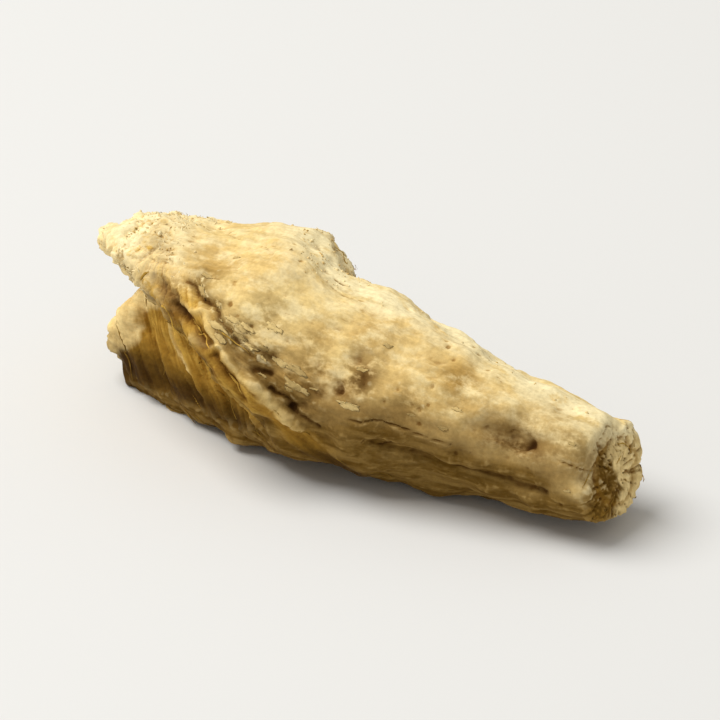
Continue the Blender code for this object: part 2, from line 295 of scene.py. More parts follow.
# The stage, in metres: the floor's half width, and the lamp's place from the piece's middle and its width
FLOOR_HALF_WIDE = 1.5
LAMP_OFFSET = Vector((-0.14, -0.06, 0.28))
LAMP_WIDE = 0.25


def root_settings(context):
    return context.scene.root_piece


def step(value, low, high):
    """0 below low, 1 above high, and smooth between."""
    t = np.clip((value - low) / (high - low), 0.0, 1.0)
    return t * t * (3.0 - 2.0 * t)


def bell(squared):
    """1 where a squared distance is 0, falling smoothly to 0."""
    return np.exp(-np.minimum(squared, 30.0))


def spots_at(places, waves, offset):
    """Where noise is read for each place. waves is how many it has in a millimetre, or one for each axis."""
    return (places * np.array(waves) + np.array(offset)).tolist()


def noise_at(places, waves, offset):
    """Noise from -1 to 1 at each place."""
    return np.array([noise.noise(spot) for spot in spots_at(places, waves, offset)])


def folds_at(places, waves, offset):
    """Ridges that are 1 on their crests and fall to sharp creases."""
    return 1.0 - 2.0 * np.abs(noise_at(places, waves, offset))


def cells_at(places, waves, offset):
    """The distances from each place to the nearest two of the points that noise scatters, in waves."""
    return np.array([noise.voronoi(spot)[0][:2] for spot in spots_at(places, waves, offset)])


def grains_at(places, waves, offset):
    """Rounded grains packed side by side: 1 in their middles and 0 where they meet."""
    near = cells_at(places, waves, offset)
    return np.clip((near[:, 1] - near[:, 0]) * 1.6, 0.0, 1.0)


def layered(kind, places, *layers):
    """Layers of one kind of noise added up. Each layer is its share, its waves and its offset."""
    return sum(share * kind(places, waves, offset) for share, waves, offset in layers)


def shifts_at(places, waves, offset, apart):
    """A shift for each place, with noise of its own for each axis, whose offsets lie this far apart."""
    offsets = [np.array(offset) + k * np.array(apart) for k in range(3)]
    return np.stack([noise_at(places, waves, each) for each in offsets], axis=1)


def near_line(places, points, half_wide, outward):
    """1 on a line of straight runs, falling to 0. A step out of the surface counts little."""
    nearest = np.full(len(places), np.inf)
    for start, end in zip(points, points[1:]):
        start = np.array(start)
        line = np.array(end) - start
        share = np.clip((places - start) @ line / (line @ line), 0.0, 1.0)
        off = places - start - share[:, None] * line
        off -= OUTWARD_LEFT_OUT * np.sum(off * outward, axis=1)[:, None] * outward
        nearest = np.minimum(nearest, np.linalg.norm(off, axis=1))
    return bell((nearest / half_wide) ** 2)


def near_spots(places, spots):
    """Each round patch's strength in its middle, falling to 0 past its radius."""
    share = np.zeros(len(places))
    for place, radius, strength in spots:
        away = np.sum((places - np.array(place)) ** 2, axis=1) / radius**2
        share = np.maximum(share, strength * bell(away))
    return share


def fan_parts(x, z):
    """How far x, z is from the fan's middle, its turn round that, and how far a fibre has bent there."""
    reach = np.hypot(x - FAN_X, FAN_Z - z)
    turn = np.arctan2(FAN_Z - z, x - FAN_X)
    return reach, turn, FAN_BEND * reach * step(turn, 0.6, 1.4)


def fan_at(places):
    """The turn of the torn fibre through each place round the fan's middle, and how far along it that is."""
    reach, turn, bend = fan_parts(places[:, 0], places[:, 2])
    return turn + bend, reach


def fan_heading(spot):
    """The way that a torn fibre runs at a place."""
    _, turn, bend = fan_parts(spot.x, spot.z)
    along = Vector((math.cos(turn) + bend * math.sin(turn), 0.0, -math.sin(turn) + bend * math.cos(turn)))
    return along.normalized()


def grain_places(places):
    """Places with their length shrunk, so that noise on them runs along the root."""
    bend = noise_at(places, 0.35, (0.0, 0.0, 0.0)) * 0.5
    x, y, z = places.T
    return np.stack((x * 0.14, y + bend * 0.4, z - bend * 0.4), axis=1)


def skin_share_at(places):
    """1 where the surface is still the root's skin and 0 where it is broken."""
    x = places[:, 0]
    row = np.clip(np.searchsorted(SKIN_STATIONS[:, 0], x) - 1, 0, len(SKIN_STATIONS) - 2)
    start, end = SKIN_STATIONS[row], SKIN_STATIONS[row + 1]
    share = ((x - start[:, 0]) / (end[:, 0] - start[:, 0]))[:, None]
    here = start + (end - start) * share
    off_y = (places[:, 1] - here[:, 1]) / here[:, 3]
    off_z = (places[:, 2] - here[:, 2]) / here[:, 4]
    angle = np.arctan2(off_z, off_y)
    round_root = np.stack((x, np.cos(angle), np.sin(angle)), axis=1)
    lumps = [noise.fractal(spot, 1.0, 2.0, 2) for spot in spots_at(round_root, LUMP_WAVES, LUMPS_FROM)]
    lump = 1.0 + LUMP_HEIGHT * np.array(lumps)
    depth = (1.0 - np.hypot(off_y, off_z) / lump) * (here[:, 3] + here[:, 4]) / 2.0
    ends = step(x, THICK_END + 0.2, THICK_END + 2.0) * (1.0 - step(x, THIN_END - 0.6, THIN_END - 0.1))
    return (1.0 - step(depth, *SKIN_DEPTHS)) * ends


def torn_share_at(places, above_crest):
    """1 in the torn front, below its crest."""
    sunk = (places - TORN_AT) @ TORN_OUT
    below = 1.0 - step(above_crest, -0.15, 0.30)
    return step(sunk, -2.0, -1.3) * below * step(places[:, 0], THICK_END - 0.3, THICK_END + 0.3)


def frayed_share_at(places, above_crest, wander):
    """1 where the skin above the torn front's crest is frayed into fibres."""
    turn, reach = fan_at(places)
    frayed = step(turn + wander, 0.30, 0.52) * step(-places[:, 1], 0.9, 1.9)
    return frayed * (step(reach, 1.2, 2.4) * (1.0 - step(reach, 7.5, 9.5)) * step(above_crest, -0.6, 0.0))


def vectors(items, name):
    """One vector of each of a mesh's items, as the rows of an array."""
    flat = np.empty(len(items) * 3)
    items.foreach_get(name, flat)
    return flat.reshape(-1, 3)


class Surface:
    """The mesh of the root as arrays, with its neighbours for smoothing."""

    def __init__(self, mesh):
        self.mesh = mesh
        self.places = vectors(mesh.vertices, "co")
        edges = np.empty(len(mesh.edges) * 2, dtype=np.int64)
        mesh.edges.foreach_get("vertices", edges)
        self.edges = edges.reshape(-1, 2)
        self.degree = np.bincount(edges, minlength=len(self.places))

    def neighbours(self, field):
        """The mean of each vertex's neighbours."""
        one, other = self.edges[:, 0], self.edges[:, 1]
        count = len(self.degree)

        def total(column):
            return np.bincount(one, column[other], count) + np.bincount(other, column[one], count)

        if field.ndim == 1:
            return total(field) / self.degree
        return np.stack([total(column) for column in field.T], axis=1) / self.degree[:, None]

    def smoothed(self, field, times):
        for _ in range(times):
            field = 0.5 * (field + self.neighbours(field))
        return field

    def write(self):
        self.mesh.vertices.foreach_set("co", self.places.ravel())
        self.mesh.update()

    def normals(self):
        self.write()
        return vectors(self.mesh.vertex_normals, "vector")

    def mark(self, name, field):
        """Store a field on the mesh for the material to read."""
        attribute = self.mesh.attributes.new(name, "FLOAT", "POINT")
        attribute.data.foreach_set("value", np.clip(field, 0.0, 1.0).astype(np.float32))

    def mark_vector(self, name, field):
        attribute = self.mesh.attributes.new(name, "FLOAT_VECTOR", "POINT")
        attribute.data.foreach_set("vector", field.astype(np.float32).ravel())


def to_drawing(places):
    """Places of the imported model, in metres, as places in the drawing."""
    return places / MM - DRAWN_AT


def to_model(places):
    """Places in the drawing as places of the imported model, in metres."""
    return (places + DRAWN_AT) * MM


def even_copy_of_node(name, voxel):
    """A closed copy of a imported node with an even, fine mesh, in millimetres."""
    shape = bmesh.new()
    shape.from_mesh(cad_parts[name].data)
    bmesh.ops.remove_doubles(shape, verts=shape.verts, dist=0.001 * MM)
    bmesh.ops.scale(shape, vec=(1.0 / MM,) * 3, verts=shape.verts)
    bmesh.ops.translate(shape, vec=-Vector(DRAWN_AT), verts=shape.verts)
    coarse = bpy.data.meshes.new("coarse")
    shape.to_mesh(coarse)
    shape.free()
    holder = bpy.data.objects.new("coarse", coarse)
    bpy.context.scene.collection.objects.link(holder)
    remesh = holder.modifiers.new("even", "REMESH")
    remesh.mode = "VOXEL"
    remesh.voxel_size = voxel
    graph = bpy.context.evaluated_depsgraph_get()
    fine = bpy.data.meshes.new_from_object(holder.evaluated_get(graph))
    bpy.data.objects.remove(holder)
    bpy.data.meshes.remove(coarse)
    return fine


def zones_at(surface):
    """The share of each kind of surface at each place."""
    places = surface.places
    x, y, z = places.T
    skin = surface.smoothed(skin_share_at(places), SKIN_SMOOTHING)
    spread = surface.smoothed(skin, RIM_SMOOTHING)
    above_crest = z - np.interp(x, CREST_X, CREST_Z)
    front = torn_share_at(places, above_crest)
    wander = layered(noise_at, places, (0.10, 1.1, (5.0, 2.0, 8.0)), (0.05, 3.0, (1.0, 1.0, 4.0)))
    ragged = layered(noise_at, places, (0.5, 0.8, (7.0, 7.0, 1.0)), (0.3, 2.4, (1.0, 4.0, 4.0)))
    torn = front * np.maximum(1.0 - skin, step(above_crest + 4.0 * wander, -1.5, -0.7))
    cut_end = step(x, THIN_END - 0.9, THIN_END - 0.3)
    left_rim = 1.0 - step(x + ragged - np.interp(z, LEFT_RIM_Z, LEFT_RIM_X), -0.5, 0.6)
    return {
        "skin": skin * (1.0 - torn),
        "torn": torn,
        "split": (1.0 - skin) * (1.0 - front) * (1.0 - 0.7 * cut_end),
        "rim": np.clip(4.0 * spread * (1.0 - spread), 0.0, 1.0),
        "lip": (1.0 - step(x + 1.8 * ragged, -9.2, -5.4)) * step(z, 4.6, 5.8),
        "frayed": frayed_share_at(places, above_crest, wander) * skin * (1.0 - torn),
        "cut_end": cut_end * (1.0 - skin),
        "left_rim": left_rim * (1.0 - step(y, 0.5, 2.0)) * (1.0 - skin),
    }


def skin_relief(places, grain, sizes):
    """Wrinkles along the root, soft lumps, pores and the edges of peeling layers."""
    wrinkles = layered(
        folds_at, grain,
        (0.5, 1.2, (4.0, 1.0, 9.0)),
        (0.32, 2.6, (2.0, 6.0, 1.0)),
        (0.18, 5.4, (7.0, 7.0, 3.0)),
    )
    where = 0.35 + 0.65 * step(noise_at(places, 0.4, (8.0, 3.0, 1.0)), -0.3, 0.35)
    lumps = layered(noise_at, places, (1.0, 0.95, (5.0, 5.0, 1.0)), (0.55, 2.2, (3.0, 8.0, 2.0)))
    grit = noise_at(places, 5.5, (9.0, 4.0, 6.0))
    pores = 1.0 - step(cells_at(places, 1.3, (2.0, 2.0, 5.0))[:, 0], 0.09, 0.24)
    pores *= step(noise_at(places, 0.55, (1.0, 6.0, 8.0)), 0.0, 0.25)
    layers = 0.6 * step(noise_at(places, (0.5, 1.1, 1.1), (6.0, 1.0, 4.0)), 0.05, 0.10)
    layers += 0.4 * step(noise_at(places, (1.1, 2.3, 2.3), (2.0, 9.0, 7.0)), 0.12, 0.18)
    relief = sizes.fold_height * (where * (wrinkles - 0.4) + 0.9 * lumps + 0.22 * grit)
    return relief + sizes.layer_height * layers - sizes.pore_depth * pores


def torn_relief(places, sizes):
    """Fibres that fan out down the torn front, with stepped ends."""
    turn, reach = fan_at(places)
    depth = (places - TORN_AT) @ TORN_OUT
    fibre = np.stack((turn, reach * 0.10, depth * 0.3), axis=1)
    ribs = layered(
        folds_at, fibre,
        (0.45, (6.5, 1.0, 1.0), (7.0, 3.0, 2.0)),
        (0.33, (12.0, 1.5, 1.0), (1.0, 9.0, 4.0)),
        (0.22, (21.0, 2.5, 1.0), (3.0, 5.0, 8.0)),
    )
    ends = step(noise_at(fibre, (7.0, 9.0, 1.0), (2.0, 2.0, 9.0)), 0.02, 0.10)
    grit = noise_at(places, 4.5, (4.0, 1.0, 1.0))
    return sizes.fibre_height * (1.25 * ribs + 0.55 * ends + 0.22 * grit)


def split_relief(places, grain, sizes):
    """Coarse fibres along the split back and the broken ends."""
    ribs = layered(
        folds_at, grain,
        (0.5, 2.0, (8.0, 2.0, 5.0)),
        (0.3, 4.6, (3.0, 3.0, 7.0)),
        (0.2, 8.5, (6.0, 1.0, 1.0)),
    )
    ends = step(noise_at(grain, (6.0, 2.2, 2.2), (5.0, 9.0, 3.0)), 0.02, 0.10)
    crumbs = layered(grains_at, places, (0.7, 1.9, (2.0, 4.0, 6.0)), (0.3, 4.2, (1.0, 7.0, 3.0)))
    return sizes.fibre_height * (1.1 * ribs + 0.5 * ends) + 0.35 * sizes.crumb_height * crumbs


def crumb_relief(places, sizes):
    """Jagged crests and crumbs, as along a broken edge."""
    crests = 0.5 + 0.5 * folds_at(places, (0.9, 1.5, 1.3), (6.0, 2.0, 6.0))
    crests *= 0.45 + 0.55 * folds_at(places, (2.2, 3.2, 2.8), (1.0, 2.0, 3.0))
    crumbs = grains_at(places, 3.4, (1.0, 2.0, 3.0))
    return sizes.crumb_height * (1.6 * crests + 0.35 * crumbs - 0.6)


def end_ring_at(places):
    """The share of the cut end's ring of darker tissue, and of the clefts that run out from its middle."""
    y, z = places[:, 1] - END_MIDDLE[0], places[:, 2] - END_MIDDLE[1]
    wobble = layered(noise_at, places, (0.10, 0.9, (2.0, 8.0, 3.0)), (0.05, 2.6, (7.0, 1.0, 9.0)))
    reach = np.hypot(y, z) / END_HALF_WIDE + wobble
    turn = np.arctan2(z, y) + 1.5 * wobble
    ring = bell(((reach - END_RING) / END_RING_HALF_WIDE) ** 2)
    round_end = np.stack((np.cos(turn) * 1.6, np.sin(turn) * 1.6, reach * 0.35), axis=1)
    line = np.abs(noise_at(round_end, 2.3, (4.0, 7.0, 1.0)))
    clefts = (1.0 - step(line, 0.0, 0.10)) * step(reach, 0.15, 0.35)
    return ring, clefts


def end_relief(places, ring, clefts, sizes):
    """The torn grain of the cut end, its sunken ring and its clefts."""
    grains = layered(grains_at, places, (0.6, 2.6, (3.0, 1.0, 7.0)), (0.4, 5.2, (1.0, 5.0, 2.0)))
    lumps = noise_at(places, 1.1, (6.0, 3.0, 2.0))
    return sizes.crumb_height * (0.4 * grains + 0.6 * lumps - 0.35 * ring - 0.45 * clefts)


def pits_at(places):
    """How deep each place lies in the pits, in millimetres, and the share of its dark smudge."""
    warped = places + 0.22 * shifts_at(places, 1.7, (0.0, 4.0, 2.0), (9.0, 0.0, 0.0))
    depth, smudge = np.zeros(len(places)), np.zeros(len(places))
    for place, half_long, half_wide, deep in PITS:
        off = warped - np.array(place)
        squared = (off[:, 0] / half_long) ** 2 + (off[:, 1] ** 2 + off[:, 2] ** 2) / half_wide**2
        depth += deep * bell(squared)
        smudge = np.maximum(smudge, bell(squared / SMUDGE_SPREAD))
    return depth, smudge


def cracks_at(places, grain):
    """1 in the drying cracks that run along the skin here and there."""
    line = np.abs(noise_at(grain, 1.1, (9.0, 9.0, 2.0)))
    where = step(noise_at(places, 0.45, (3.0, 1.0, 7.0)), 0.12, 0.35)
    return (1.0 - step(line, 0.0, 0.06)) * where


def strands_at(places, outward):
    """The height of the torn front's drawn ribs and slits, and the share of each."""
    sway = 0.16 * shifts_at(places, 0.9, (3.0, 0.0, 5.0), (0.0, 7.0, 0.0))
    sway += 0.07 * shifts_at(places, 3.1, (8.0, 0.0, 1.0), (0.0, 2.0, 0.0))
    broken = 0.8 + 0.2 * step(noise_at(places, 1.3, (4.0, 4.0, 4.0)), -0.35, 0.1)
    height, ribs, slits = np.zeros((3, len(places)))
    for half_wide, rise, points in STRANDS:
        near = broken * near_line(places + sway, points, half_wide, outward)
        height += rise * near
        if rise > 0.0:
            ribs = np.maximum(ribs, near)
        else:
            slits = np.maximum(slits, near * min(1.0, -rise / DARK_SLIT))
    return height, ribs, slits


def raise_detail(surface, sizes):
    """Move the surface out and in, and mark each zone for the material."""
    places = surface.places
    outward = surface.normals()
    zones = zones_at(surface)
    skin, torn, split, frayed = zones["skin"], zones["torn"], zones.pop("split"), zones["frayed"]
    grain = grain_places(places)
    pit_depth, smudge = pits_at(places)
    cracks = cracks_at(places, grain) * (1.0 - step(smudge, 0.02, 0.3))
    ring, clefts = end_ring_at(places)
    strand_height, ribs, slits = strands_at(places, outward)

    height = skin * (1.0 - 0.6 * frayed) * skin_relief(places, grain, sizes)
    height += (torn + 0.8 * frayed) * torn_relief(places, sizes)
    height += split * split_relief(places, grain, sizes)
    broken_edge = np.maximum(np.maximum(0.6 * zones["rim"], zones["lip"]), 0.45 * zones["left_rim"])
    height += broken_edge * crumb_relief(places, sizes)
    height += zones["cut_end"] * end_relief(places, ring, clefts, sizes)
    height += strand_height - sizes.crack_depth * cracks * skin - pit_depth
    surface.places = places + outward * height[:, None]
    surface.places[:, 2] = np.maximum(surface.places[:, 2], -DRAWN_AT[2])

    drift = layered(noise_at, places, (0.7, 0.9, (3.0, 3.0, 1.0)), (0.4, 2.7, (1.0, 8.0, 5.0)))
    marks = zones | {
        "smudge": smudge,
        "cracks": cracks,
        "ribs": ribs,
        "slits": slits,
        "end_ring": ring,
        "end_clefts": clefts,
        "end_front": 1.0 - step(places[:, 1] + drift, -1.5, -0.3),
        "dust_and_highlight": near_line(places, DUST_AND_HIGHLIGHT_EDGE, DUST_AND_HIGHLIGHT_HALF_WIDE, outward),
        # Painted shade along the front edge
        "shaded_front": near_line(places, SHADED_FRONT_EDGE, SHADED_FRONT_HALF_WIDE, outward),
        "shoulder": near_spots(places, PALE_SHOULDER),
        "stain": near_spots(places, OCHRE_STAINS),
        "worn": near_spots(places, WORN_PATCHES),
        "low": 1.0 - step(places[:, 2], *LOW_TO_HIGH),
    }
    for name, field in marks.items():
        surface.mark(name, field)
    turn, reach = fan_at(places)
    surface.mark_vector("fan", np.stack((turn, reach, places[:, 1]), axis=1))


def mark_relief(surface):
    """Mark the lower side, which the colours darken as painted shade, and crests and hollows by how far they
    stand out of the smoothed surface.
    """
    outward = surface.normals()
    for name, (times, reach) in RELIEF_MARKS.items():
        level = surface.smoothed(surface.places, times)
        out = np.sum((surface.places - level) * outward, axis=1)
        surface.mark(name, 0.5 + 0.5 * np.clip(out / reach, -1.0, 1.0))
    # The lower side, which the colours darken as painted shade
    smooth_outward = surface.smoothed(outward, UNDER_SMOOTHING)
    smooth_outward /= np.linalg.norm(smooth_outward, axis=1)[:, None]
    drift = 0.22 * noise_at(surface.places, (0.35, 0.8, 0.8), (2.0, 2.0, 2.0))
    surface.mark("under", step(drift - smooth_outward[:, 2], -0.75, 0.30))


class Ground:
    """The finished body that the loose scraps lie on, in the drawing's millimetres."""

    def __init__(self, body):
        self.body = body
        self.places = to_drawing(vectors(body.data.vertices, "co"))
        self.normals = vectors(body.data.vertex_normals, "vector")

    def mark(self, name):
        """A field that was marked on the body."""
        field = np.empty(len(self.places), dtype=np.float32)
        self.body.data.attributes[name].data.foreach_get("value", field)
        return field.astype(float)

    def draw(self, weight, count, dice):
        """Places drawn by their weight, each with its normal."""
        picks = dice.choice(len(weight), size=count, replace=False, p=weight / weight.sum())
        return [(Vector(self.places[i]), Vector(self.normals[i])) for i in picks]

    def nearest(self, spot):
        """The surface's place nearest to a spot, and its normal."""
        _, place, normal, _ = self.body.closest_point_on_mesh(Vector(to_model(np.array(spot))))
        return Vector(to_drawing(np.array(place))), normal


class Scraps:
    """Small closed bits in one mesh. Each is a copy of a template whose corners are then placed."""

    def __init__(self):
        self.shape = bmesh.new()

    def add(self, template, place_corner, tone):
        """Add a bit. place_corner gives the place of a template's corner, and tone the bit's colour."""
        self.shape.from_mesh(template)
        self.shape.verts.ensure_lookup_table()
        tones = self.shape.verts.layers.float["tone"]
        for vert in self.shape.verts[-len(template.vertices):]:
            vert.co = place_corner(vert.co.copy())
            vert[tones] = tone

    def piece(self, name, material):
        """The finished piece, whose bits all face outwards."""
        floor = SCRAP_GAP - DRAWN_AT[2]
        for vert in self.shape.verts:
            vert.co.z = max(vert.co.z, floor)
            vert.co = Vector(to_model(np.array(vert.co)))
        bmesh.ops.recalc_face_normals(self.shape, faces=self.shape.faces)
        mesh = bpy.data.meshes.new(name)
        self.shape.to_mesh(mesh)
        self.shape.free()
        mesh.shade_smooth()
        piece = link_piece(name, mesh, material)
        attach(piece, BODY)
        return piece


def template_mesh(name, shape):
    shape.verts.layers.float.new("tone")
    mesh = bpy.data.meshes.new(name)
    shape.to_mesh(mesh)
    shape.free()
    return mesh


def ball_template(subdivisions):
    shape = bmesh.new()
    bmesh.ops.create_icosphere(shape, subdivisions=subdivisions, radius=1.0)
    return template_mesh("ball", shape)


def tube_template(sides, rings):
    """A closed tube of radius 1 from 0 to 1 along Z."""
    shape = bmesh.new()
    bmesh.ops.create_cone(
        shape, cap_ends=True, cap_tris=False, segments=sides, radius1=1.0, radius2=1.0, depth=1.0
    )
    bmesh.ops.translate(shape, vec=(0.0, 0.0, 0.5), verts=shape.verts)
    lengthwise = [e for e in shape.edges if abs(e.verts[0].co.z - e.verts[1].co.z) > 0.5]
    bmesh.ops.subdivide_edges(shape, edges=lengthwise, cuts=rings - 2, use_grid_fill=True)
    return template_mesh("tube", shape)


def grain_corners(place, normal, radius, dice):
    """Places the corners of an angular grain, half sunk in the surface."""
    turned = Matrix.Rotation(dice.uniform(0.0, math.tau), 3, Vector(dice.normal(size=3)).normalized())
    shares = Vector(dice.uniform(0.55, 1.35, size=3))
    seed = Vector(dice.uniform(0.0, 50.0, size=3))
    middle = place + normal * radius * dice.uniform(-0.30, 0.15)
    cuts = [(Vector(dice.normal(size=3)).normalized(), dice.uniform(0.35, 0.75)) for _ in range(5)]

    def place_corner(corner):
        lump = 1.0 + 0.5 * noise.noise(corner * 1.3 + seed) + 0.3 * noise.noise(corner * 3.1 + seed)
        corner = corner * lump
        for way, limit in cuts:
            corner = corner - way * max(0.0, corner.dot(way) - limit)
        corner = Vector((corner.x * shares.x, corner.y * shares.y, corner.z * shares.z))
        return middle + turned @ corner * radius

    return place_corner


def down_share(normal):
    """How far a surface with this normal faces down, from 0 to 1, which darkens a scrap's tone as painted
    shade.
    """
    return float(step(-normal.z, -0.45, 0.35))


def flake_corners(ground, place, normal, heading, half_long, half_wide, lift, dice):
    """Places the corners of a thin flake that hugs the surface and lifts off along one side."""
    along = (heading - normal * heading.dot(normal)).normalized()
    across = normal.cross(along)
    lifted = dice.uniform(0.0, math.tau)
    seed = Vector(dice.uniform(0.0, 50.0, size=3))

    def place_corner(corner):
        edge = Vector((corner.x, corner.y, 0.0))
        ragged = 1.0 + 0.8 * noise.noise(edge * 1.8 + seed) + 0.5 * noise.noise(edge * 4.5 + seed)
        spot = place + (along * corner.x * half_long + across * corner.y * half_wide) * ragged
        under, out = ground.nearest(spot)
        side = max(0.0, corner.x * math.cos(lifted) + corner.y * math.sin(lifted))
        return under + out * (corner.z * FLAKE_THICK + 0.3 * FLAKE_THICK + lift * side**2)

    return place_corner


def straight(heading):
    """A heading that is the same at every place."""
    return lambda spot: heading


def fibre_corners(ground, place, heading_at, length, radius, lift, rings, dice):
    """Places the corners of a tapering fibre that follows the surface and lifts off towards its end."""
    path = []
    spot = place
    sway = dice.uniform(-0.3, 0.3)
    flat = dice.uniform(0.4, 0.9)
    for i in range(rings):
        share = i / (rings - 1)
        under, out = ground.nearest(spot)
        heading = heading_at(under)
        along = (heading - out * heading.dot(out)).normalized()
        along = (along + out.cross(along) * sway * math.sin(share * 5.0)).normalized()
        rise = lift * share**2 - 0.9 * radius * (1.0 - share)
        path.append((under + out * rise, along, out))
        spot = under + along * length / (rings - 1)

    def place_corner(corner):
        share = corner.z
        middle, along, out = path[round(share * (rings - 1))]
        across = out.cross(along)
        width = radius * (1.0 - 0.75 * share**1.5)
        return middle + (across * corner.x + out * corner.y * flat) * width

    return place_corner


class Link:
    """A shader socket that adds Math nodes when it is used in arithmetic."""

    def __init__(self, finish, socket):
        self.finish = finish
        self.socket = socket

    def math(self, operation, *values, clamp=False):
        inputs = dict(enumerate(values))
        return self.finish.node("ShaderNodeMath", {"operation": operation, "use_clamp": clamp}, inputs)

    def __add__(self, other):
        return self.math("ADD", self, other)

    def __radd__(self, other):
        return self.math("ADD", other, self)

    def __sub__(self, other):
        return self.math("SUBTRACT", self, other)

    def __rsub__(self, other):
        return self.math("SUBTRACT", other, self)

    def __mul__(self, other):
        return self.math("MULTIPLY", self, other)

    def __rmul__(self, other):
        return self.math("MULTIPLY", other, self)

    def limited(self):
        """The value held between 0 and 1."""
        return self.math("ADD", self, 0.0, clamp=True)

    def step(self, low, high):
        """0 below low, 1 above high, and smooth between."""
        inputs = {"Value": self, "From Min": low, "From Max": high}
        return self.finish.node("ShaderNodeMapRange", {"interpolation_type": "SMOOTHSTEP"}, inputs)


class Finish:
    """A material, whose nodes all come from one method."""

    def __init__(self, name):
        self.material = bpy.data.materials.new(name)
        self.material.use_nodes = True
        self.tree = self.material.node_tree
        self.shader = self.tree.nodes["Principled BSDF"]

    def plug(self, socket, value):
        """Give a socket a link or a value. A colour needs no alpha."""
        if isinstance(value, Link):
            self.tree.links.new(value.socket, socket)
        elif socket.type == "RGBA":
            socket.default_value = (*value, 1.0)
        else:
            socket.default_value = value

    def node(self, kind, settings, inputs, output=0):
        """A node of this kind. settings are set first, then the values or links of inputs."""
        made = self.tree.nodes.new(kind)
        for name, value in settings.items():
            setattr(made, name, value)
        for name, value in inputs.items():
            self.plug(made.inputs[name], value)
        return Link(self, made.outputs[output])

    def mark(self, name, output="Fac"):
        """A field that was marked on the mesh."""
        return self.node("ShaderNodeAttribute", {"attribute_name": name}, {}, output=output)

    def noise(self, waves, detail=3.0, roughness=0.6, shift=0.0, where=None):
        """Noise about 0.5 at where, or else at the place on the object. shift sets two noises apart."""
        where = where or self.node("ShaderNodeTexCoord", {}, {}, output="Object")
        stretched = self.node("ShaderNodeVectorMath", {"operation": "MULTIPLY"}, {0: where, 1: waves})
        moved = self.node("ShaderNodeVectorMath", {"operation": "ADD"}, {0: stretched, 1: (shift,) * 3})
        inputs = {"Vector": moved, "Scale": 1.0, "Detail": detail, "Roughness": roughness}
        return self.node("ShaderNodeTexNoise", {}, inputs)

    def mix(self, share, one, other, blend="MIX"):
        """Colours: one where share is 0 or less and other where it is 1 or more."""
        settings = {"data_type": "RGBA", "blend_type": blend, "clamp_factor": True}
        return self.node("ShaderNodeMix", settings, {0: share, 6: one, 7: other}, output=2)

    def coated(self, colour, *coats, blend="MIX"):
        """A colour under coats, from the lowest to the highest. Each coat is its share and its colour."""
        for share, coat in coats:
            colour = self.mix(share, colour, coat, blend)
        return colour

    def lay(self, colour, roughness, gloss, bump):
        """Set the surface's colour, roughness and gloss, and a bump of a strength, depth in mm and height."""
        strength, depth, height = bump
        inputs = {"Strength": strength, "Distance": depth * MM, "Height": height}
        self.plug(self.shader.inputs["Base Color"], colour)
        self.plug(self.shader.inputs["Roughness"], roughness)
        self.plug(self.shader.inputs["Specular IOR Level"], gloss)
        self.plug(self.shader.inputs["Normal"], self.node("ShaderNodeBump", {}, inputs))


